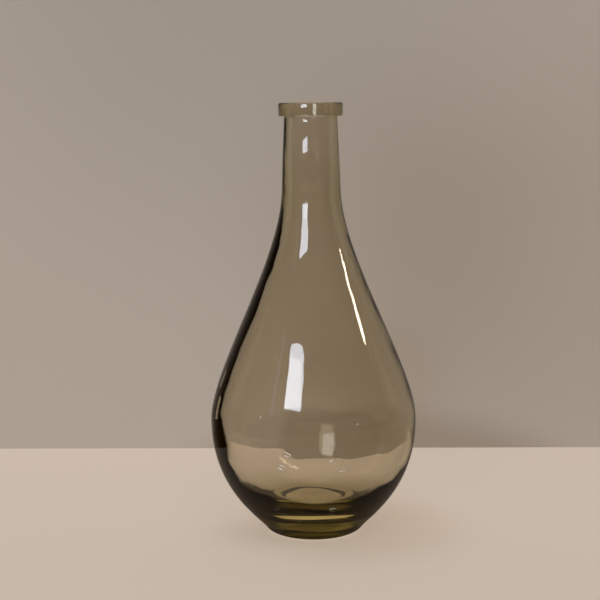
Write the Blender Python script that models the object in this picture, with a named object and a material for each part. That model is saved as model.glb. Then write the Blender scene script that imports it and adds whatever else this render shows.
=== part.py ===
"""A tall teardrop bottle vase in smoky taupe glass, built as a mould-blown vase is made.

The vase is one piece of glass. Its outside is a long, slightly tapered neck that sweeps out
through a hollow shoulder into a pear-shaped belly, then rounds in over a steep flank and a heel
to a flat standing ring. A flat band, the collar, stands out round the mouth. The wall is thinnest
at the mouth, thickest where the neck opens into the shoulder, and runs below the belly into a
heavy base slug with a shallow recess inside the standing ring.

Metres, +Z up. The origin is the middle of the standing ring, on the surface the vase stands on.
"""

import math

import bpy

HEIGHT = 0.360

COLLAR_RADIUS = 0.0265
COLLAR_HEIGHT = 0.0108
COLLAR_EDGE = 0.0013
COLLAR_ROOT = 0.0012

NECK_RADIUS = 0.0219
NECK_LENGTH = 0.063
NECK_TAPER = math.radians(2.4)
SHOULDER_SWEEP = 0.057

BELLY_RADIUS = 0.0865
BELLY_HEIGHT = 0.0959
BELLY_RISE = 0.0412
BELLY_DROP = 0.0582

FLANK_ANGLE = math.radians(36.0)
FLANK_REACH = 0.013
HEEL_RADIUS = 0.0090
FOOT_RADIUS = 0.0345

RING_WIDTH = 0.0030
PUSH_UP = 0.0030
PUSH_UP_SLOPE = 0.0080

NECK_WALL = 0.0036
SHOULDER_WALL = 0.0072
SHOULDER_HEIGHT = 0.235
BELLY_WALL = 0.0062
LIP_EDGE = 0.0014

FLOOR_THICKNESS = 0.0235
FLOOR_RADIUS = 0.0240
FLOOR_CROWN = 0.0008
CAVITY_DROP = 0.050
CAVITY_REACH = 0.032

SIDES = 64
NECK_STEPS = 4
SHOULDER_STEPS = 14
FLANK_STEPS = 10
CAVITY_STEPS = 12
HEEL_STEPS = 5
EDGE_STEPS = 3
CROWN_STEPS = 4
POLE_MERGE = 0.00001


def bezier(start, start_handle, end_handle, end, steps):
    """Return steps + 1 points on the cubic curve from start to end."""
    points = []
    for step in range(steps + 1):
        t = step / steps
        weights = ((1 - t) ** 3, 3 * (1 - t) ** 2 * t, 3 * (1 - t) * t ** 2, t ** 3)
        corners = (start, start_handle, end_handle, end)
        points.append(tuple(sum(w * c[k] for w, c in zip(weights, corners)) for k in (0, 1)))
    return points


def arc(centre, radius, start, end, steps):
    """Return steps + 1 points on an arc; angles in radians, 0 pointing outwards."""
    points = []
    for step in range(steps + 1):
        angle = start + (end - start) * step / steps
        points.append((centre[0] + radius * math.cos(angle), centre[1] + radius * math.sin(angle)))
    return points


def smooth_step(t):
    """Ease from 0 to 1 with level ends."""
    t = min(max(t, 0.0), 1.0)
    return t * t * (3 - 2 * t)


def upper_outline():
    """Return the outside from the collar's underside to the widest point of the belly."""
    top_height = HEIGHT - COLLAR_HEIGHT
    slope = (math.sin(NECK_TAPER), -math.cos(NECK_TAPER))
    neck = []
    for step in range(NECK_STEPS):
        reach = NECK_LENGTH * step / NECK_STEPS
        neck.append((NECK_RADIUS + slope[0] * reach, top_height + slope[1] * reach))
    foot_of_neck = (NECK_RADIUS + slope[0] * NECK_LENGTH, top_height + slope[1] * NECK_LENGTH)
    sweep = bezier(
        foot_of_neck,
        (foot_of_neck[0] + slope[0] * SHOULDER_SWEEP, foot_of_neck[1] + slope[1] * SHOULDER_SWEEP),
        (BELLY_RADIUS, BELLY_HEIGHT + BELLY_RISE),
        (BELLY_RADIUS, BELLY_HEIGHT),
        SHOULDER_STEPS,
    )
    return neck + sweep


def lower_outline():
    """Return the outside from below the widest point to the outer edge of the standing ring."""
    heel_turn = math.pi / 2 - FLANK_ANGLE
    heel = arc((FOOT_RADIUS, HEEL_RADIUS), HEEL_RADIUS, -FLANK_ANGLE, -math.pi / 2, HEEL_STEPS)
    heel_top = (
        FOOT_RADIUS + HEEL_RADIUS * math.sin(heel_turn),
        HEEL_RADIUS * (1 - math.cos(heel_turn)),
    )
    flank = bezier(
        (BELLY_RADIUS, BELLY_HEIGHT),
        (BELLY_RADIUS, BELLY_HEIGHT - BELLY_DROP),
        (
            heel_top[0] + FLANK_REACH * math.sin(FLANK_ANGLE),
            heel_top[1] + FLANK_REACH * math.cos(FLANK_ANGLE),
        ),
        heel_top,
        FLANK_STEPS,
    )
    return flank[1:-1] + heel


def underside():
    """Return the standing ring's inner edge, the slope of the push-up and its flat top."""
    edge = (FOOT_RADIUS - RING_WIDTH, 0.0)
    flat = (edge[0] - PUSH_UP_SLOPE, PUSH_UP)
    slope = bezier(
        edge,
        (edge[0] - PUSH_UP_SLOPE / 3, PUSH_UP / 3),
        (flat[0] + PUSH_UP_SLOPE / 2, PUSH_UP),
        flat,
        CROWN_STEPS,
    )
    return slope + [(0.0, PUSH_UP)]


def collar_outline():
    """Return the collar from its top land, round both outer edges, to its root on the neck."""
    low = HEIGHT - COLLAR_HEIGHT
    reach = COLLAR_RADIUS - COLLAR_EDGE
    top = arc((reach, HEIGHT - COLLAR_EDGE), COLLAR_EDGE, math.pi / 2, 0.0, EDGE_STEPS)
    bottom = arc((reach, low + COLLAR_EDGE), COLLAR_EDGE, 0.0, -math.pi / 2, EDGE_STEPS)
    root_centre = (NECK_RADIUS + COLLAR_ROOT, low - COLLAR_ROOT)
    root = arc(root_centre, COLLAR_ROOT, math.pi / 2, math.pi, EDGE_STEPS)
    return top + bottom + root


def cavity():
    """Return the inside from the middle of the floor up to the mouth's rounded lip.

    The wall follows the outside at a thickness that eases from the belly to the shoulder and on
    to the neck.
    """
    outside = upper_outline()
    below = SHOULDER_HEIGHT - BELLY_HEIGHT
    above = HEIGHT - COLLAR_HEIGHT - SHOULDER_HEIGHT
    inside = []
    for index, (radius, height) in enumerate(outside):
        before = outside[max(index - 1, 0)]
        after = outside[min(index + 1, len(outside) - 1)]
        along = (after[0] - before[0], after[1] - before[1])
        length = math.hypot(*along)
        wall = BELLY_WALL + (SHOULDER_WALL - BELLY_WALL) * smooth_step((height - BELLY_HEIGHT) / below)
        wall += (NECK_WALL - SHOULDER_WALL) * smooth_step((height - SHOULDER_HEIGHT) / above)
        inside.append((radius + wall * along[1] / length, height - wall * along[0] / length))
    inside[-1] = (BELLY_RADIUS - BELLY_WALL, BELLY_HEIGHT)
    widest = inside[-1]
    crown = bezier(
        (0.0, FLOOR_THICKNESS + FLOOR_CROWN),
        (FLOOR_RADIUS / 2, FLOOR_THICKNESS + FLOOR_CROWN),
        (FLOOR_RADIUS / 2, FLOOR_THICKNESS),
        (FLOOR_RADIUS, FLOOR_THICKNESS),
        CROWN_STEPS,
    )
    bowl = bezier(
        (FLOOR_RADIUS, FLOOR_THICKNESS),
        (FLOOR_RADIUS + CAVITY_REACH, FLOOR_THICKNESS),
        (widest[0], widest[1] - CAVITY_DROP),
        widest,
        CAVITY_STEPS,
    )
    bore = inside[0][0]
    lip = arc((bore + LIP_EDGE, HEIGHT - LIP_EDGE), LIP_EDGE, math.pi, math.pi / 2, EDGE_STEPS)
    return crown[:-1] + bowl[:-1] + inside[::-1] + lip


def section():
    """Return the whole half section, from the floor over the rim to the push-up."""
    neck_and_belly = upper_outline()[1:]
    return cavity() + collar_outline() + neck_and_belly + lower_outline() + underside()


def smoky_glass():
    """Return the material: clear-bodied glass tinted smoky taupe."""
    material = bpy.data.materials.new("smoky_taupe_glass")
    material.use_nodes = True
    shader = material.node_tree.nodes["Principled BSDF"]
    shader.inputs["Base Color"].default_value = (0.30, 0.25, 0.17, 1.0)
    shader.inputs["Roughness"].default_value = 0.03
    shader.inputs["Metallic"].default_value = 0.0
    shader.inputs["IOR"].default_value = 1.52
    shader.inputs["Transmission Weight"].default_value = 0.9
    return material


def glass_vessel():
    """Turn the half section about the vertical axis into one closed body of glass."""
    points = [(radius, 0.0, height) for radius, height in section()]
    mesh = bpy.data.meshes.new("glass_vessel")
    mesh.from_pydata(points, [(i, i + 1) for i in range(len(points) - 1)], [])
    vessel = bpy.data.objects.new("glass_vessel", mesh)
    bpy.context.collection.objects.link(vessel)
    turn = vessel.modifiers.new("turned_profile", "SCREW")
    turn.axis = "Z"
    turn.angle = math.tau
    turn.steps = SIDES
    turn.render_steps = SIDES
    turn.use_merge_vertices = True
    turn.merge_threshold = POLE_MERGE
    turn.use_smooth_shade = True
    mesh.materials.append(smoky_glass())
    return vessel


def main():
    """Clear the scene and make the vase."""
    for old in list(bpy.data.objects):
        bpy.data.objects.remove(old)
    glass_vessel()


main()
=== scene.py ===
"""Dress the teardrop bottle vase: smoky glass on a pale table, in soft studio light.

The glass is one closed surface of two parameters: the distance along the vase's half section, and
the angle round its axis. Metres, +Z up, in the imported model's own frame.
"""

import logging
import math
from dataclasses import dataclass
from enum import Enum

import bpy
import numpy as np
from mathutils import Matrix, Vector


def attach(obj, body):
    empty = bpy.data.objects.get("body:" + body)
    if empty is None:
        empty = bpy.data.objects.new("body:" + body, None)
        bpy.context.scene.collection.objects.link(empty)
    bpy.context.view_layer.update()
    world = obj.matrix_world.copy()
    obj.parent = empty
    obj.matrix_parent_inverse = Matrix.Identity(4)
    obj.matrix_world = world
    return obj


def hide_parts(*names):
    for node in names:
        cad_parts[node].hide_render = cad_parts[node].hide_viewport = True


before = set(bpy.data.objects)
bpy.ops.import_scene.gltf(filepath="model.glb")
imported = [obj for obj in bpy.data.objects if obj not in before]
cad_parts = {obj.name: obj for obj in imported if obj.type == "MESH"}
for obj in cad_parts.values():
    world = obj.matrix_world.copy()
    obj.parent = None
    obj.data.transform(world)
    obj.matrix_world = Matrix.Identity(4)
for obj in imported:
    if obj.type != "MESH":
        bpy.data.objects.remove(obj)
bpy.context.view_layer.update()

MM = 0.001
PHOTO_WIDTH_PX = 600

# Faces of the glass that a sight line through the foot crosses, and how near the count must be.
FOOT_FACES = 2.0
HALF_A_FACE = 0.5

# How often light may turn: through glass, off mirroring faces, and through clear cards.
GLASS_BOUNCES = 24
MIRROR_BOUNCES = 12
CLEAR_BOUNCES = 16

log = logging.getLogger("bottle_vase")


def linear_colour(code: str) -> tuple[float, float, float, float]:
    """Turn an sRGB hex colour into linear red, green, blue and full alpha.

    Args:
        code: The colour as #rrggbb.

    Returns:
        Four linear values from 0 to 1.
    """
    share = np.array([int(code[start:start + 2], 16) for start in (1, 3, 5)]) / 255
    linear = np.where(share <= 0.04045, share / 12.92, ((share + 0.055) / 1.055) ** 2.4)
    return (*(float(value) for value in linear), 1.0)


def smooth_step(value: np.ndarray) -> np.ndarray:
    """Ease from 0 to 1 with level ends: 3t squared minus 2t cubed, with t held between 0 and 1."""
    held = np.clip(value, 0.0, 1.0)
    return held * held * (3 - 2 * held)


def bell(value: np.ndarray, middle: float, width: float) -> np.ndarray:
    """Rise to 1 at middle and fall away on both sides: e to the minus (distance / width) squared."""
    return np.exp(-(((value - middle) / width) ** 2))


def turn_from(angle: np.ndarray, middle: float) -> np.ndarray:
    """Give the angle from middle, wrapped to lie between minus and plus half a turn."""
    return np.mod(angle - middle + math.pi, math.tau) - math.pi


def bezier(corners: tuple[tuple[float, float], ...], steps: int) -> np.ndarray:
    """Give points on a cubic curve: each corner weighted by its Bernstein share.

    Args:
        corners: Start, start handle, end handle and end, each radius and height.
        steps: How many stretches the curve is cut into.

    Returns:
        An array of steps + 1 rows of radius and height.
    """
    t = np.linspace(0.0, 1.0, steps + 1)[:, None]
    start, start_handle, end_handle, end = (np.array(corner) for corner in corners)
    return (
        (1 - t) ** 3 * start
        + 3 * (1 - t) ** 2 * t * start_handle
        + 3 * (1 - t) * t ** 2 * end_handle
        + t ** 3 * end
    )


def arc(centre: tuple[float, float], radius: float, start: float, end: float, steps: int) -> np.ndarray:
    """Give points on an arc: centre plus radius times cosine and sine of an even run of angles.

    Args:
        centre: Radius and height of the arc's centre.
        radius: The arc's radius.
        start: First angle in radians, 0 pointing outwards.
        end: Last angle in radians.
        steps: How many stretches the arc is cut into.

    Returns:
        An array of steps + 1 rows of radius and height.
    """
    angle = np.linspace(start, end, steps + 1)
    return np.stack([centre[0] + radius * np.cos(angle), centre[1] + radius * np.sin(angle)], 1)


def add_node(
    tree: bpy.types.NodeTree,
    kind: str,
    settings: dict[str | int, object] | None = None,
    links: dict[str | int, bpy.types.NodeSocket] | None = None,
) -> bpy.types.Node:
    """Add one node with its settings and the links into it.

    Args:
        tree: The node tree to add to.
        kind: The node's type name.
        settings: Socket defaults by name or number, and node properties by name.
        links: The outputs that feed its inputs, by input name or number.

    Returns:
        The new node.
    """
    node = tree.nodes.new(kind)
    for name, value in (settings or {}).items():
        if isinstance(name, int) or name in node.inputs:
            node.inputs[name].default_value = value
        else:
            setattr(node, name, value)
    for name, output in (links or {}).items():
        tree.links.new(output, node.inputs[name])
    return node


class Face(Enum):
    """The faces of the glass, in the order in which the half section runs."""

    INSIDE = 0
    RIM = 1
    OUTSIDE = 2
    UNDERSIDE = 3


@dataclass(frozen=True)
class HalfSection:
    """The vase's half section, at the same sizes as the solid model's, with finer steps."""

    height: float = 360 * MM
    collar_radius: float = 26.5 * MM
    collar_height: float = 10.8 * MM
    collar_edge: float = 1.3 * MM
    collar_root: float = 1.2 * MM
    neck_radius: float = 21.9 * MM
    neck_length: float = 63 * MM
    neck_taper: float = math.radians(2.4)
    shoulder_sweep: float = 57 * MM
    belly_radius: float = 86.5 * MM
    belly_height: float = 95.9 * MM
    belly_rise: float = 41.2 * MM
    belly_drop: float = 58.2 * MM
    flank_angle: float = math.radians(36)
    flank_reach: float = 13 * MM
    heel_radius: float = 9 * MM
    foot_radius: float = 34.5 * MM
    ring_width: float = 3 * MM
    push_up: float = 3 * MM
    push_up_slope: float = 8 * MM
    neck_wall: float = 3.6 * MM
    shoulder_wall: float = 7.2 * MM
    shoulder_height: float = 235 * MM
    belly_wall: float = 6.2 * MM
    lip_edge: float = 1.4 * MM
    floor_thickness: float = 23.5 * MM
    floor_radius: float = 24 * MM
    floor_crown: float = 0.8 * MM
    cavity_drop: float = 50 * MM
    cavity_reach: float = 32 * MM
    neck_steps: int = 24
    sweep_steps: int = 110
    flank_steps: int = 72
    bowl_steps: int = 72
    floor_steps: int = 16
    heel_steps: int = 15
    slope_steps: int = 15
    edge_steps: int = 5

    def upper_outline(self) -> np.ndarray:
        """Give the outside from the collar's underside to the widest point.

        A straight tapered neck, then one cubic curve that leaves it in line and ends upright.

        Returns:
            Rows of radius and height, from the top down.
        """
        top = np.array([self.neck_radius, self.height - self.collar_height])
        slope = np.array([math.sin(self.neck_taper), -math.cos(self.neck_taper)])
        reach = np.linspace(0.0, self.neck_length, self.neck_steps + 1)[:-1, None]
        neck_foot = top + slope * self.neck_length
        sweep = bezier(
            (
                tuple(neck_foot),
                tuple(neck_foot + slope * self.shoulder_sweep),
                (self.belly_radius, self.belly_height + self.belly_rise),
                (self.belly_radius, self.belly_height),
            ),
            self.sweep_steps,
        )
        return np.vstack([top + slope * reach, sweep])

    def lower_outline(self) -> np.ndarray:
        """Give the outside from below the widest point to the standing ring's outer edge.

        One cubic curve that meets the heel's arc in line, then the arc down to the table.

        Returns:
            Rows of radius and height, from the top down.
        """
        turn = math.pi / 2 - self.flank_angle
        heel = arc((self.foot_radius, self.heel_radius), self.heel_radius,
                   -self.flank_angle, -math.pi / 2, self.heel_steps)
        heel_top = (
            self.foot_radius + self.heel_radius * math.sin(turn),
            self.heel_radius * (1 - math.cos(turn)),
        )
        flank = bezier(
            (
                (self.belly_radius, self.belly_height),
                (self.belly_radius, self.belly_height - self.belly_drop),
                (
                    heel_top[0] + self.flank_reach * math.sin(self.flank_angle),
                    heel_top[1] + self.flank_reach * math.cos(self.flank_angle),
                ),
                heel_top,
            ),
            self.flank_steps,
        )
        return np.vstack([flank[1:-1], heel])

    def underside(self) -> np.ndarray:
        """Give the standing ring's inner edge, the slope of the push-up and its flat top.

        One cubic curve from the edge to the flat, which it meets level.

        Returns:
            Rows of radius and height, from the edge to the axis.
        """
        edge = (self.foot_radius - self.ring_width, 0.0)
        flat = (edge[0] - self.push_up_slope, self.push_up)
        slope = bezier(
            (
                edge,
                (edge[0] - self.push_up_slope / 3, self.push_up / 3),
                (flat[0] + self.push_up_slope / 2, self.push_up),
                flat,
            ),
            self.slope_steps,
        )
        return np.vstack([slope, [[0.0, self.push_up]]])

    def collar(self) -> np.ndarray:
        """Give the collar from its top land, round both outer edges, to its root on the neck.

        Three quarter turns: two outward ones at the band's edges and an inward one at its root.

        Returns:
            Rows of radius and height, from the top down.
        """
        low = self.height - self.collar_height
        reach = self.collar_radius - self.collar_edge
        top = arc((reach, self.height - self.collar_edge), self.collar_edge,
                  math.pi / 2, 0.0, self.edge_steps)
        bottom = arc((reach, low + self.collar_edge), self.collar_edge,
                     0.0, -math.pi / 2, self.edge_steps)
        root = arc((self.neck_radius + self.collar_root, low - self.collar_root), self.collar_root,
                   math.pi / 2, math.pi, self.edge_steps)
        return np.vstack([top, bottom, root])

    def wall(self, height: np.ndarray) -> np.ndarray:
        """Give the even wall: eased from the belly's to the shoulder's, and on to the neck's.

        Args:
            height: Height over the table, in metres.

        Returns:
            The wall's thickness at each height, in metres.
        """
        below = self.shoulder_height - self.belly_height
        above = self.height - self.collar_height - self.shoulder_height
        swell = (self.shoulder_wall - self.belly_wall) * smooth_step((height - self.belly_height) / below)
        thin = (self.neck_wall - self.shoulder_wall) * smooth_step((height - self.shoulder_height) / above)
        return self.belly_wall + swell + thin

    def cavity(self) -> np.ndarray:
        """Give the inside from the middle of the floor to the mouth's rounded lip.

        The outside moved inwards by the wall along its normal, with a bowl of one cubic curve
        below it and a faintly crowned floor.

        Returns:
            Rows of radius and height, from the floor up.
        """
        outside = self.upper_outline()
        along = np.gradient(outside, axis=0)
        along /= np.linalg.norm(along, axis=1)[:, None]
        inward = np.stack([along[:, 1], -along[:, 0]], 1)
        inside = outside + inward * self.wall(outside[:, 1])[:, None]
        widest = (self.belly_radius - self.belly_wall, self.belly_height)
        inside[-1] = widest
        middle = self.floor_thickness + self.floor_crown
        crown = bezier(
            (
                (0.0, middle),
                (self.floor_radius / 2, middle),
                (self.floor_radius / 2, self.floor_thickness),
                (self.floor_radius, self.floor_thickness),
            ),
            self.floor_steps,
        )
        bowl = bezier(
            (
                (self.floor_radius, self.floor_thickness),
                (self.floor_radius + self.cavity_reach, self.floor_thickness),
                (widest[0], widest[1] - self.cavity_drop),
                widest,
            ),
            self.bowl_steps,
        )
        lip = arc((inside[0, 0] + self.lip_edge, self.height - self.lip_edge), self.lip_edge,
                  math.pi, math.pi / 2, self.edge_steps)
        return np.vstack([crown[:-1], bowl[:-1], inside[::-1], lip])

    def points(self) -> tuple[np.ndarray, np.ndarray]:
        """Give the whole half section and the face that each of its points belongs to.

        Returns:
            Rows of radius and height from the floor's middle, over the rim, to the push-up's
            middle, and the face number of each row.
        """
        parts = (
            (Face.INSIDE, self.cavity()),
            (Face.RIM, self.collar()),
            (Face.OUTSIDE, np.vstack([self.upper_outline()[1:], self.lower_outline()])),
            (Face.UNDERSIDE, self.underside()[1:]),
        )
        rows = np.vstack([points for _, points in parts])
        faces = np.concatenate([np.full(len(points), face.value) for face, points in parts])
        return rows, faces


@dataclass(frozen=True)
class Swell:
    """One soft swelling of the glass, or a hollow where its rise is negative.

    Angles are in degrees round +Z from +X, so that the front is at 270 and the left at 180.
    """

    rise: float
    angle: float
    angle_width: float
    height: float
    height_width: float

    def at(self, angle: np.ndarray, height: np.ndarray) -> np.ndarray:
        """Give the rise: a bell round the vase times a bell up it, in metres."""
        across = bell(turn_from(angle, math.radians(self.angle)), 0.0, math.radians(self.angle_width))
        return self.rise * across * bell(height, self.height, self.height_width)


@dataclass(frozen=True)
class Ledge:
    """A stretch of wall that thickens upwards from one height to another, between two angles.

    It thins again towards its top. Angles and their eases are in degrees.
    """

    rise: float
    low: float
    high: float
    start: float
    end: float
    start_ease: float
    end_ease: float
    top: float = 122 * MM
    top_ease: float = 30 * MM

    def at(self, angle: np.ndarray, height: np.ndarray) -> np.ndarray:
        """Give the rise: eased in from low to high and out again at the top, and at both angles.

        Args:
            angle: Angle round the axis, in radians.
            height: Height over the table, in metres.

        Returns:
            Metres by which the wall is thicker.
        """
        middle = math.radians((self.start + self.end) / 2)
        half = math.radians((self.end - self.start) / 2)
        turn = turn_from(angle, middle)
        across = smooth_step((turn + half) / math.radians(self.start_ease))
        across = across * smooth_step((half - turn) / math.radians(self.end_ease))
        upward = smooth_step((height - self.low) / (self.high - self.low))
        upward = upward * smooth_step((self.top - height) / self.top_ease)
        return self.rise * across * upward


@dataclass(frozen=True)
class Ripple:
    """Shallow waves in the glass, which run round the vase and climb it at the same time."""

    rise: float
    turns: int
    pitch: float
    phase: float
    low: float = 26 * MM
    high: float = 335 * MM
    ease: float = 30 * MM

    def at(self, angle: np.ndarray, height: np.ndarray) -> np.ndarray:
        """Give the rise: a sine of turns times the angle plus a full wave for each pitch of height.

        Args:
            angle: Angle round the axis, in radians.
            height: Height over the table, in metres.

        Returns:
            Metres by which the face stands proud.
        """
        wave = np.sin(self.turns * angle + math.tau * height / self.pitch + self.phase)
        share = smooth_step((height - self.low) / self.ease) * smooth_step((self.high - height) / self.ease)
        return self.rise * wave * share


@dataclass(frozen=True)
class HandWork:
    """How the blown glass departs from the turned form, on its inner and outer faces.

    The wall is thinner at the front than at the back and faintly oval, so that its two faces
    stand at a small angle to each other at the left and the right. The neck is heavier than the
    turned form's. Both run back to the turned form at the mouth, and the first also at the floor
    and where the vase is slim.
    """

    back_wall: float = 2.3 * MM
    oval_wall: float = -0.78 * MM
    oval_angle: float = 45.0
    floor_height: float = 30 * MM
    floor_ease: float = 40 * MM
    slim_radius: float = 12 * MM
    slim_ease: float = 17 * MM
    neck_wall: float = 2.0 * MM
    neck_height: float = 240 * MM
    neck_ease: float = 50 * MM
    mouth_height: float = 357 * MM
    mouth_ease: float = 9 * MM
    inside: tuple[Swell | Ledge | Ripple, ...] = (
        Ripple(0.014 * MM, 13, 61 * MM, 0.4),
        Ripple(0.008 * MM, -9, 31 * MM, 2.1),
        Ripple(0.008 * MM, 19, 33 * MM, 4.4),
        Ripple(0.05 * MM, 9, 21 * MM, 0.9, 24 * MM, 80 * MM, 16 * MM),
        Ledge(2.0 * MM, 60 * MM, 105 * MM, 254, 350, 4, 60),
        Ledge(-1.9 * MM, 60 * MM, 104 * MM, 190, 254, 30, 4, 112 * MM, 26 * MM),
        Swell(-0.6 * MM, 195, 50, 44 * MM, 15 * MM),
    )
    outside: tuple[Swell | Ledge | Ripple, ...] = (
        Swell(0.6 * MM, 262, 60, 313 * MM, 14 * MM),
        Ripple(0.020 * MM, 11, 37 * MM, 1.0),
        Ripple(0.012 * MM, -17, 19 * MM, 3.0),
        Ripple(0.05 * MM, 5, 11 * MM, 0.7, 2 * MM, 34 * MM, 10 * MM),
    )

    def wall_change(self, angle: np.ndarray, height: np.ndarray, radius: np.ndarray) -> np.ndarray:
        """Give what the hand work adds to the wall, on its inner face.

        The sum of a sine of the angle and a cosine of twice the angle, both faded out at the
        floor and where the vase is slim, and of the neck's share, all faded out at the mouth to
        keep the lip level, and of each swell and ledge.

        Args:
            angle: Angle round the axis, in radians.
            height: Height over the table, in metres.
            radius: Distance from the axis, in metres.

        Returns:
            Metres by which the wall is thicker.
        """
        mouth = smooth_step((self.mouth_height - height) / self.mouth_ease)
        fade = smooth_step((height - self.floor_height) / self.floor_ease)
        fade = fade * smooth_step((radius - self.slim_radius) / self.slim_ease)
        even = self.back_wall * np.sin(angle)
        even = even + self.oval_wall * np.cos(2 * (angle - math.radians(self.oval_angle)))
        neck = smooth_step((height - self.neck_height) / self.neck_ease)
        forms = sum(form.at(angle, height) for form in self.inside)
        return (even * fade + self.neck_wall * neck) * mouth + forms

    def outside_change(self, angle: np.ndarray, height: np.ndarray) -> np.ndarray:
        """Give how far the outside stands proud of the turned form, in metres."""
        return sum(form.at(angle, height) for form in self.outside)


@dataclass(frozen=True)
class SmokyGlass:
    """Soda-lime glass with a smoke tint in the melt, mould-blown and fire-polished.

    The fire polish leaves a clean liquid gloss, and the tint reads as taupe in the thin wall and as
    olive through the heavy base, because blue is lost soonest along the way. The loss is natural
    logarithms of light per millimetre, for red, green and blue. The densest loss is what a black
    body colour would stand for, per metre: each colour's share of it is taken off white.
    """

    index: float = 1.52
    roughness: float = 0.0
    lost_per_mm: tuple[float, float, float] = (0.0272, 0.0297, 0.0472)
    skin_tint: str = "#fbf6f3"
    densest_loss: float = 60.0

    def material(self) -> bpy.types.Material:
        """Build the material: a clear transmitting surface round an absorbing body.

        Returns:
            The glass.
        """
        material = bpy.data.materials.new("smoky_taupe_glass")
        material.use_nodes = True
        tree = material.node_tree
        tree.nodes.clear()
        surface = add_node(tree, "ShaderNodeBsdfPrincipled", {
            "Base Color": linear_colour(self.skin_tint),
            "Roughness": self.roughness,
            "IOR": self.index,
            "Transmission Weight": 1.0,
        })
        lost = np.array(self.lost_per_mm) / MM
        body = add_node(tree, "ShaderNodeVolumeAbsorption", {
            "Color": (*(float(share) for share in 1 - lost / self.densest_loss), 1.0),
            "Density": self.densest_loss,
        })
        add_node(tree, "ShaderNodeOutputMaterial", {}, {
            "Surface": surface.outputs["BSDF"],
            "Volume": body.outputs["Volume"],
        })
        return material


@dataclass(frozen=True)
class Spot:
    """A round soft-edged place on the stage: full within its radius and gone at its edge."""

    centre: tuple[float, float, float]
    radius: float
    edge: float

    def share(self, tree: bpy.types.NodeTree) -> bpy.types.NodeSocket:
        """Add the nodes that tell how far a point belongs to the spot.

        Args:
            tree: The node tree of the sheet that the spot lies on.

        Returns:
            The output that gives 1 within the radius and eases to 0 at the edge.
        """
        place = add_node(tree, "ShaderNodeTexCoord")
        away = add_node(tree, "ShaderNodeVectorMath", {"operation": "DISTANCE", 1: self.centre},
                        {0: place.outputs["Object"]})
        share = add_node(tree, "ShaderNodeMapRange", {
            "interpolation_type": "SMOOTHSTEP",
            "From Min": self.edge,
            "From Max": self.radius,
        }, {"Value": away.outputs["Value"]})
        return share.outputs["Result"]


@dataclass(frozen=True)
class Pool:
    """A spot of the stage where the light is stronger, weaker or warmer, by a gain per colour."""

    spot: Spot
    gain: tuple[float, float, float]


@dataclass(frozen=True)
class PlainPaint:
    """Flat emulsion paint on a sheet of the stage, with the pools of light that lie on it.

    Rolled on in thin coats, it dries to a dull even face. The glow stands for the broad soft light
    on it, and is weaker where the glass mirrors it. Through the foot it is seen stronger at one
    spot. A one-sided sheet can't be seen from its back.
    """

    name: str
    colour: str
    glow: float
    mirrored_glow: float
    foot_spot: Spot
    foot_gain: float
    pools: tuple[Pool, ...]
    one_sided: bool = False
    roughness: float = 0.85
    specular: float = 0.15

    def pooled_colour(self, tree: bpy.types.NodeTree) -> bpy.types.NodeSocket:
        """Add the nodes that multiply the paint's colour by each pool's gain.

        Args:
            tree: The paint's node tree.

        Returns:
            The output with the colour.
        """
        colour = add_node(tree, "ShaderNodeRGB")
        colour.outputs[0].default_value = linear_colour(self.colour)
        product = colour.outputs[0]
        for pool in self.pools:
            gain = add_node(tree, "ShaderNodeMixRGB", {"blend_type": "MULTIPLY", 2: (*pool.gain, 1.0)},
                            {0: pool.spot.share(tree), 1: product})
            product = gain.outputs[0]
        return product

    def strength(self, tree: bpy.types.NodeTree) -> bpy.types.NodeSocket:
        """Add the nodes for the glow's strength: weaker when mirrored, stronger through the foot.

        The count of crossed faces tells a sight line through the foot, once in and once out, from
        one through both walls of the belly, which has crossed four.

        Args:
            tree: The paint's node tree.

        Returns:
            The output with the strength.
        """
        sight = add_node(tree, "ShaderNodeLightPath")
        mirrored = add_node(tree, "ShaderNodeMath", {"operation": "SUBTRACT", "use_clamp": True},
                            {0: sight.outputs["Is Glossy Ray"], 1: sight.outputs["Is Transmission Ray"]})
        glow = add_node(tree, "ShaderNodeMapRange", {
            "To Min": self.glow,
            "To Max": self.glow * self.mirrored_glow,
        }, {"Value": mirrored.outputs["Value"]})
        once = add_node(tree, "ShaderNodeMath",
                        {"operation": "COMPARE", 1: FOOT_FACES, 2: HALF_A_FACE},
                        {0: sight.outputs["Transmission Depth"]})
        through_foot = add_node(tree, "ShaderNodeMath", {"operation": "MULTIPLY"},
                                {0: self.foot_spot.share(tree), 1: once.outputs["Value"]})
        gain = add_node(tree, "ShaderNodeMapRange", {"To Min": 1.0, "To Max": self.foot_gain},
                        {"Value": through_foot.outputs["Value"]})
        product = add_node(tree, "ShaderNodeMath", {"operation": "MULTIPLY"},
                           {0: glow.outputs["Result"], 1: gain.outputs["Result"]})
        return product.outputs["Value"]

    def material(self) -> bpy.types.Material:
        """Build the material; a one-sided sheet lets light and sight through from its back.

        Returns:
            The paint.
        """
        material = bpy.data.materials.new(self.name)
        material.use_nodes = True
        tree = material.node_tree
        tree.nodes.clear()
        surface = add_node(tree, "ShaderNodeBsdfPrincipled", {
            "Base Color": linear_colour(self.colour),
            "Roughness": self.roughness,
            "Specular IOR Level": self.specular,
        }, {"Emission Color": self.pooled_colour(tree), "Emission Strength": self.strength(tree)})
        shader = surface.outputs["BSDF"]
        if self.one_sided:
            side = add_node(tree, "ShaderNodeNewGeometry")
            clear = add_node(tree, "ShaderNodeBsdfTransparent")
            both = add_node(tree, "ShaderNodeMixShader", {},
                            {0: side.outputs["Backfacing"], 1: shader, 2: clear.outputs["BSDF"]})
            shader = both.outputs["Shader"]
        add_node(tree, "ShaderNodeOutputMaterial", {}, {"Surface": shader})
        return material


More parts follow.
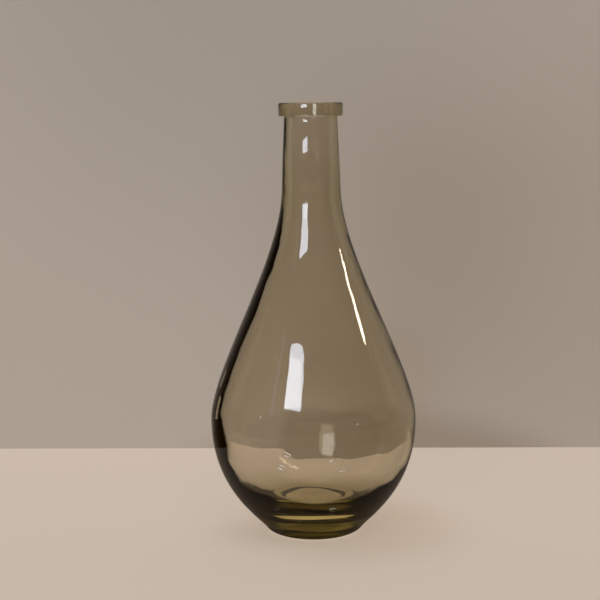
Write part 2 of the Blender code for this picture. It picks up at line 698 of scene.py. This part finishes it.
def new_object(name: str, data: bpy.types.ID) -> bpy.types.Object:
    """Put a mesh, lamp or camera into the scene as an object at the origin.

    Args:
        name: The object's name.
        data: What the object holds.

    Returns:
        The new object.
    """
    made = bpy.data.objects.new(name, data)
    bpy.context.scene.collection.objects.link(made)
    return made


def four_cornered(name: str, corners: list[tuple[float, float, float]],
                  material: bpy.types.Material) -> bpy.types.Object:
    """Put one flat four-cornered sheet of the stage into the scene.

    Args:
        name: The sheet's name.
        corners: Its corners in order, anticlockwise seen from its front.
        material: What it is covered with.

    Returns:
        The sheet.
    """
    mesh = bpy.data.meshes.new(name)
    mesh.from_pydata(corners, [], [(0, 1, 2, 3)])
    mesh.materials.append(material)
    made = new_object(name, mesh)
    return made


def ring_faces(grid: np.ndarray) -> tuple[np.ndarray, np.ndarray, np.ndarray]:
    """Join rings of points, of which the first and last are single points, by faces.

    Corner numbers come from whole-array shifts: a four-sided face joins ring i at angles j and
    j + 1 to ring i + 1 at the same angles, and a fan of triangles closes each pole.

    Args:
        grid: Points by ring, angle and coordinate; each end ring is one place repeated.

    Returns:
        The points, every face's corners in a row, and how many corners each face has.
    """
    rings, sides, _ = grid.shape
    points = np.vstack([grid[0, :1], grid[1:-1].reshape(-1, 3), grid[-1, :1]])
    number = 1 + np.arange((rings - 2) * sides).reshape(rings - 2, sides)
    beside = np.roll(number, -1, axis=1)
    quads = np.stack([number[:-1], number[1:], beside[1:], beside[:-1]], -1).reshape(-1, 4)
    last = len(points) - 1
    first_fan = np.stack([np.zeros(sides, int), number[0], beside[0]], -1)
    last_fan = np.stack([np.full(sides, last), beside[-1], number[-1]], -1)
    corners = np.concatenate([quads.ravel(), first_fan.ravel(), last_fan.ravel()])
    sizes = np.concatenate([np.full(len(quads), 4), np.full(2 * sides, 3)])
    return points, corners, sizes


def closed_mesh(name: str, grids: list[np.ndarray]) -> bpy.types.Mesh:
    """Make one smooth-shaded mesh of closed skins.

    Args:
        name: The mesh's name.
        grids: Each skin's points by ring, angle and coordinate.

    Returns:
        The mesh.
    """
    skins = [ring_faces(grid) for grid in grids]
    firsts = np.cumsum([0] + [len(points) for points, _, _ in skins])
    points = np.vstack([points for points, _, _ in skins])
    corners = np.concatenate([corners + first for (_, corners, _), first in zip(skins, firsts)])
    sizes = np.concatenate([sizes for _, _, sizes in skins])
    mesh = bpy.data.meshes.new(name)
    mesh.vertices.add(len(points))
    mesh.vertices.foreach_set("co", points.astype(np.float32).ravel())
    mesh.loops.add(len(corners))
    mesh.loops.foreach_set("vertex_index", corners.astype(np.int32))
    mesh.polygons.add(len(sizes))
    starts = np.concatenate([[0], np.cumsum(sizes)[:-1]])
    mesh.polygons.foreach_set("loop_start", starts.astype(np.int32))
    mesh.polygons.foreach_set("use_smooth", np.ones(len(sizes), bool))
    mesh.update(calc_edges=True)
    mesh.validate()
    return mesh


@dataclass(frozen=True)
class Blister:
    """One flat air bubble caught in the wall as the glass was gathered and drawn out by blowing.

    It lies at an angle, radius and height, and faces the way given by a turn round +Z and a rise.
    Its long axis is turned by the lean from the level. Angles are in degrees, and its half sizes
    run from its middle.
    """

    angle: float
    radius: float
    height: float
    facing: float
    rise: float
    lean: float
    half_length: float
    half_width: float
    half_depth: float = 0.09 * MM

    def skin(self, rings: int = 8, sides: int = 14) -> np.ndarray:
        """Work out the bubble's skin, whose faces look into its air.

        A lens: a ball squeezed along the way it faces and drawn out along its long axis.

        Args:
            rings: How many rings of points there are from pole to pole.
            sides: How many points each ring has.

        Returns:
            An array of rings by sides by 3.
        """
        place = math.radians(self.angle)
        facing = math.radians(self.facing)
        rise = math.radians(self.rise)
        lean = math.radians(self.lean)
        across = math.cos(rise)
        normal = np.array([across * math.cos(facing), across * math.sin(facing), math.sin(rise)])
        level = np.array([-math.sin(facing), math.cos(facing), 0.0])
        upward = np.cross(normal, level)
        long_way = math.cos(lean) * level + math.sin(lean) * upward
        wide_way = np.cross(normal, long_way)
        climb = np.linspace(-math.pi / 2, math.pi / 2, rings)[:, None, None]
        turn = np.linspace(0.0, math.tau, sides, endpoint=False)[None, :, None]
        centre = np.array([self.radius * math.cos(place), self.radius * math.sin(place), self.height])
        grid = centre + self.half_length * np.cos(climb) * np.cos(turn) * long_way
        grid = grid + self.half_width * np.cos(climb) * np.sin(turn) * wide_way
        grid = grid + self.half_depth * np.sin(climb) * normal
        grid[0] = grid[0, :1]
        grid[-1] = grid[-1, :1]
        return grid


# Each row: angle, radius, height, facing, rise, lean, half length and half width.
BLISTERS: tuple[Blister, ...] = (
    Blister(233.9, 81.0 * MM, 119.9 * MM, 251, 20, 4, 1.1 * MM, 0.9 * MM),
    Blister(239.1, 82.8 * MM, 113.0 * MM, 252, 19, -64, 1.6 * MM, 0.9 * MM),
    Blister(237.0, 85.2 * MM, 89.3 * MM, 251, 14, 4, 0.9 * MM, 0.8 * MM),
    Blister(293.9, 83.9 * MM, 108.1 * MM, 271, 19, 0, 1.0 * MM, 0.9 * MM),
    Blister(255.8, 84.8 * MM, 86.0 * MM, 258, 13, -30, 3.6 * MM, 0.9 * MM),
    Blister(255.0, 84.6 * MM, 83.7 * MM, 257, 13, -30, 3.4 * MM, 0.9 * MM),
    Blister(251.8, 83.4 * MM, 75.4 * MM, 256, 11, -26, 3.4 * MM, 0.9 * MM),
    Blister(250.6, 83.0 * MM, 72.7 * MM, 256, 11, -26, 3.4 * MM, 0.9 * MM),
    Blister(279.0, 84.1 * MM, 80.0 * MM, 266, 12, 16, 2.2 * MM, 0.9 * MM),
    Blister(282.0, 84.3 * MM, 81.4 * MM, 267, 12, 16, 2.0 * MM, 0.9 * MM),
    Blister(285.4, 82.4 * MM, 70.7 * MM, 268, 10, 16, 3.6 * MM, 0.8 * MM),
    Blister(241.3, 61.7 * MM, 34.4 * MM, 253, 0, 18, 2.6 * MM, 0.8 * MM),
    Blister(283.0, 61.9 * MM, 36.4 * MM, 268, 0, 0, 3.2 * MM, 1.3 * MM),
    Blister(257.5, 54.5 * MM, 24.2 * MM, 258, -4, 4, 2.4 * MM, 0.6 * MM),
    Blister(284.9, 55.0 * MM, 24.7 * MM, 269, -5, 0, 2.6 * MM, 0.6 * MM),
    Blister(287.7, 46.7 * MM, 15.9 * MM, 270, -9, 0, 3.0 * MM, 0.8 * MM),
    Blister(237.2, 46.8 * MM, 14.7 * MM, 251, -8, 6, 2.4 * MM, 0.6 * MM),
)


@dataclass
class GlassVessel:
    """The whole vase, one piece of blown glass."""

    section: HalfSection
    work: HandWork
    glass: SmokyGlass
    blisters: tuple[Blister, ...]
    sides: int = 196

    def surface(self) -> np.ndarray:
        """Work out the glass's surface as points by ring, angle and coordinate.

        Each point is the half section's point moved along the section's normal by the hand
        work's change there, then turned about the axis by its angle.

        Returns:
            An array of rings by sides by 3.
        """
        rows, faces = self.section.points()
        along = np.gradient(rows, axis=0)
        along /= np.linalg.norm(along, axis=1)[:, None]
        outward = np.stack([-along[:, 1], along[:, 0]], 1)
        angle = np.linspace(0.0, math.tau, self.sides, endpoint=False)[None, :]
        reach = rows[:, 0][:, None]
        height = rows[:, 1][:, None]
        inside = (faces == Face.INSIDE.value)[:, None]
        outside = (faces == Face.OUTSIDE.value)[:, None]
        change = np.where(inside, self.work.wall_change(angle, height, reach), 0.0)
        change = change + np.where(outside, self.work.outside_change(angle, height), 0.0)
        radius = reach + outward[:, 0][:, None] * change
        level = height + outward[:, 1][:, None] * change
        grid = np.stack([radius * np.cos(angle), radius * np.sin(angle), level], -1)
        grid[0] = (0.0, 0.0, rows[0, 1])
        grid[-1] = (0.0, 0.0, rows[-1, 1])
        return grid

    def build(self) -> bpy.types.Object:
        """Make the glass, dress it and stand it in for the solid model's node.

        Returns:
            The vase.
        """
        skins = [self.surface()] + [blister.skin() for blister in self.blisters]
        vessel = new_object("glass_vase", closed_mesh("glass_vase", skins))
        vessel.data.materials.append(self.glass.material())
        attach(vessel, "root")
        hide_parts("glass_vessel")
        return vessel


# Depth of the backdrop's pools of light, within a centimetre of its turned face.
POOL_DEPTH = 270 * MM

# The table's glow carries painted light and shade. It is stronger where it is seen through the foot and
# under the foot. It has a warm painted shadow beside the foot and a faint one at its left front, and the
# glass mirrors it much darker.
TABLE_PAINT = PlainPaint(
    "pale_table_paint", "#c3b5a7", glow=0.80, mirrored_glow=0.05,
    foot_spot=Spot((0.0, 0.0, 0.0), 44 * MM, 60 * MM), foot_gain=2.4,
    pools=(
        Pool(Spot((0.0, 0.0, 0.0), 30 * MM, 45 * MM), (1.5, 1.5, 1.5)),
        Pool(Spot((35 * MM, -5 * MM, 0.0), 45 * MM, 120 * MM), (0.90, 0.87, 0.82)),
        Pool(Spot((-55 * MM, -20 * MM, 0.0), 5 * MM, 60 * MM), (0.93, 0.92, 0.91)),
    ),
)

# The backdrop's glow carries painted light and shade. It is much stronger where it is seen through the
# foot. It has painted shade to the right of the vase and behind it, a band of painted shade low along the
# table, and a faint cool shade high on the left.
BACKDROP_PAINT = PlainPaint(
    "warm_grey_backdrop_paint", "#a49b92", glow=0.66, mirrored_glow=0.35,
    foot_spot=Spot((0.0, POOL_DEPTH, 60 * MM), 90 * MM, 130 * MM), foot_gain=6.5,
    pools=(
        Pool(Spot((260 * MM, POOL_DEPTH, 200 * MM), 50 * MM, 420 * MM), (0.82, 0.80, 0.78)),
        Pool(Spot((100 * MM, POOL_DEPTH, 245 * MM), 20 * MM, 220 * MM), (0.88, 0.87, 0.85)),
        Pool(Spot((75 * MM, POOL_DEPTH, 75 * MM), 20 * MM, 100 * MM), (0.88, 0.84, 0.78)),
        Pool(Spot((70 * MM, POOL_DEPTH, -400 * MM), 412 * MM, 462 * MM), (0.66, 0.63, 0.58)),
        Pool(Spot((-100 * MM, POOL_DEPTH, 520 * MM), 50 * MM, 420 * MM), (0.80, 0.82, 0.84)),
    ),
    one_sided=True,
)


@dataclass
class Studio:
    """The pale table top and the warm grey backdrop behind it, which is turned a little."""

    table: PlainPaint
    backdrop: PlainPaint
    reach: float = 2.5
    table_centre: float = -0.5
    backdrop_distance: float = 0.269
    backdrop_turn: float = math.radians(1.9)
    backdrop_height: float = 1.2
    backdrop_half_width: float = 1.5

    def build(self) -> list[bpy.types.Object]:
        """Make the table top and the backdrop that faces the camera.

        Returns:
            The two sheets.
        """
        near = self.table_centre - self.reach
        far = self.table_centre + self.reach
        table = four_cornered("table", [
            (-self.reach, near, 0.0), (self.reach, near, 0.0),
            (self.reach, far, 0.0), (-self.reach, far, 0.0),
        ], self.table.material())
        wide = self.backdrop_half_width
        left = self.backdrop_distance + wide * math.tan(self.backdrop_turn)
        right = self.backdrop_distance - wide * math.tan(self.backdrop_turn)
        backdrop = four_cornered("backdrop", [
            (-wide, left, 0.0), (wide, right, 0.0),
            (wide, right, self.backdrop_height), (-wide, left, self.backdrop_height),
        ], self.backdrop.material())
        return [table, backdrop]


@dataclass(frozen=True)
class Flag:
    """An upright glowing card out of the camera's sight, which is seen only as the glass mirrors it: a
    painted reflection.

    A dark one paints shade into the glass as a dark edge, and a pale one paints a highlight as a bright
    slit in that edge. Its far end is feathered, so that what the glass shows of it ends softly.
    """

    name: str
    near_end: tuple[float, float]
    far_end: tuple[float, float]
    low: float
    high: float
    feather: float
    colour: str

    def material(self) -> bpy.types.Material:
        """Build the material: an even glowing card, painted light that only the glass mirrors, which fades
        out along X towards its far end.

        Returns:
            The card.
        """
        material = bpy.data.materials.new("feathered_reflection_card")
        material.use_nodes = True
        tree = material.node_tree
        tree.nodes.clear()
        place = add_node(tree, "ShaderNodeTexCoord")
        parts = add_node(tree, "ShaderNodeSeparateXYZ", {}, {"Vector": place.outputs["Object"]})
        cover = add_node(tree, "ShaderNodeMapRange", {
            "interpolation_type": "SMOOTHSTEP",
            "From Min": self.far_end[0],
            "From Max": self.far_end[0] - self.feather,
        }, {"Value": parts.outputs["X"]})
        card = add_node(tree, "ShaderNodeEmission", {"Color": linear_colour(self.colour)})
        clear = add_node(tree, "ShaderNodeBsdfTransparent")
        both = add_node(tree, "ShaderNodeMixShader", {}, {
            0: cover.outputs["Result"],
            1: clear.outputs["BSDF"],
            2: card.outputs["Emission"],
        })
        add_node(tree, "ShaderNodeOutputMaterial", {}, {"Surface": both.outputs["Shader"]})
        return material

    def build(self) -> bpy.types.Object:
        """Make the upright card, which casts no shadow and lights nothing.

        Returns:
            The card.
        """
        made = four_cornered(self.name, [
            (*self.near_end, self.low), (*self.far_end, self.low),
            (*self.far_end, self.high), (*self.near_end, self.high),
        ], self.material())
        made.visible_camera = False
        made.visible_transmission = False
        made.visible_diffuse = False
        made.visible_shadow = False
        return made


# Painted reflections: a dark amber card paints shade into the glass's left edge, and two pale glowing cards
# paint the bright slits in that dark edge.
FLAGS: tuple[Flag, ...] = (
    Flag("left_flag", near_end=(-0.70, -0.60), far_end=(-0.14, 0.262), low=0.0, high=0.60,
         feather=0.11, colour="#3a2912"),
    Flag("upper_slit_card", near_end=(-0.177, 0.127), far_end=(-0.1525, 0.127), low=0.119, high=0.140,
         feather=0.004, colour="#c3af95"),
    Flag("lower_slit_card", near_end=(-0.212, 0.104), far_end=(-0.179, 0.104), low=0.075, high=0.118,
         feather=0.004, colour="#f3d2ac"),
)


@dataclass(frozen=True)
class Softbox:
    """One rectangular studio lamp, aimed at a height on the vase's axis.

    It may be hidden from what the outer face of the glass mirrors (in_glass), from sight lines
    that have passed through the glass (within), and from the light on the stage (on_stage).
    """

    name: str
    place: tuple[float, float, float]
    width: float
    tall: float
    power: float
    colour: str
    aim_height: float = 0.2
    in_glass: bool = True
    within: bool = True
    on_stage: bool = True

    def build(self) -> bpy.types.Object:
        """Make the lamp, out of the camera's own sight.

        Returns:
            The lamp.
        """
        lamp = bpy.data.lights.new(self.name, "AREA")
        lamp.shape = "RECTANGLE"
        lamp.size = self.width
        lamp.size_y = self.tall
        lamp.energy = self.power
        lamp.color = linear_colour(self.colour)[:3]
        made = new_object(self.name, lamp)
        made.location = self.place
        way = Vector((0.0, 0.0, self.aim_height)) - Vector(self.place)
        made.rotation_euler = way.to_track_quat("-Z", "Y").to_euler()
        made.visible_camera = False
        made.visible_glossy = self.in_glass
        made.visible_transmission = self.within
        made.visible_diffuse = self.on_stage
        return made


SOFTBOXES: tuple[Softbox, ...] = (
    Softbox("overhead", (0.2, -1.4, 2.2), width=1.6, tall=1.6, power=5.0, colour="#ffffff",
            aim_height=0.1, in_glass=False, within=False),
    Softbox("key", (-0.80, -1.40, 0.50), width=0.9, tall=0.6, power=3.0, colour="#fff8f0",
            aim_height=0.15, in_glass=False, within=False),
    Softbox("ceiling", (0.0, -0.2, 2.2), width=2.6, tall=2.6, power=15.0, colour="#fff8ec",
            aim_height=0.0, on_stage=False),
    Softbox("faint_strip", (-0.88, -0.78, 0.62), width=0.05, tall=0.5, power=0.08, colour="#c8d4ff",
            within=False, on_stage=False),
    Softbox("left_softbox", (-0.335, -0.76, 0.545), width=0.30, tall=0.29, power=1.7, colour="#e8f0ff",
            on_stage=False),
    Softbox("left_softbox_skin", (-0.3355, -0.761, 0.546), width=0.30, tall=0.29, power=1.7,
            colour="#e8f0ff", within=False, on_stage=False),
    Softbox("warm_tube_left", (0.50, -0.55, 1.30), width=0.12, tall=0.34, power=0.9, colour="#ffeeda",
            aim_height=0.08, in_glass=False, on_stage=False),
    Softbox("warm_tube_right", (0.66, -0.55, 1.30), width=0.12, tall=0.34, power=0.9, colour="#ffeeda",
            aim_height=0.08, in_glass=False, on_stage=False),
    Softbox("side_strip", (1.40, -0.05, 0.87), width=0.13, tall=0.22, power=2.6, colour="#fff0d8",
            within=False, on_stage=False),
)


@dataclass(frozen=True)
class StudioAir:
    """The even dim light that comes from all round the stage."""

    colour: str = "#45423f"
    strength: float = 1.0

    def build(self) -> bpy.types.World:
        """Make the world an even dim grey.

        Returns:
            The world.
        """
        world = bpy.data.worlds.new("studio_air")
        bpy.context.scene.world = world
        world.use_nodes = True
        world.node_tree.nodes.clear()
        air = add_node(world.node_tree, "ShaderNodeBackground", {
            "Color": linear_colour(self.colour),
            "Strength": self.strength,
        })
        add_node(world.node_tree, "ShaderNodeOutputWorld", {}, {"Surface": air.outputs["Background"]})
        return world


@dataclass(frozen=True)
class ViewCamera:
    """The camera at the photograph's viewing angle.

    It was solved from level and upright lines and the foot's ellipse. The focal length is in pixels
    of the photograph's width, and the sensor in millimetres.
    """

    place: tuple[float, float, float] = (-0.0103, -1.13964, 0.36219)
    pitch_down: float = math.radians(8.2759)
    roll: float = math.radians(0.62)
    focal_px: float = 1375.0
    sensor: float = 36.0

    def build(self) -> bpy.types.Object:
        """Make the camera and set it as the scene's.

        Returns:
            The camera.
        """
        data = bpy.data.cameras.new("view_camera")
        data.sensor_width = self.sensor
        data.lens = self.focal_px / PHOTO_WIDTH_PX * self.sensor
        made = new_object("view_camera", data)
        made.location = self.place
        level = Matrix.Rotation(math.pi / 2 - self.pitch_down, 3, "X")
        made.rotation_euler = (level @ Matrix.Rotation(-self.roll, 3, "Z")).to_euler()
        bpy.context.scene.camera = made
        return made


def set_render_look() -> None:
    """Use the plain view transform, and enough bounces for light that crosses many glass faces."""
    scene = bpy.context.scene
    scene.view_settings.view_transform = "Standard"
    scene.cycles.max_bounces = GLASS_BOUNCES
    scene.cycles.transmission_bounces = GLASS_BOUNCES
    scene.cycles.glossy_bounces = MIRROR_BOUNCES
    scene.cycles.transparent_max_bounces = CLEAR_BOUNCES


def main() -> None:
    """Build the camera, the light, the stage and the vase, in that order."""
    logging.basicConfig(level=logging.INFO, format="%(name)s: %(message)s")
    set_render_look()
    ViewCamera().build()
    StudioAir().build()
    for softbox in SOFTBOXES:
        softbox.build()
    for flag in FLAGS:
        flag.build()
    for sheet in Studio(TABLE_PAINT, BACKDROP_PAINT).build():
        log.info("stage %s", sheet.name)
    vessel = GlassVessel(HalfSection(), HandWork(), SmokyGlass(), BLISTERS).build()
    log.info("%s: %d faces", vessel.name, len(vessel.data.polygons))


if __name__ == "__main__":
    main()
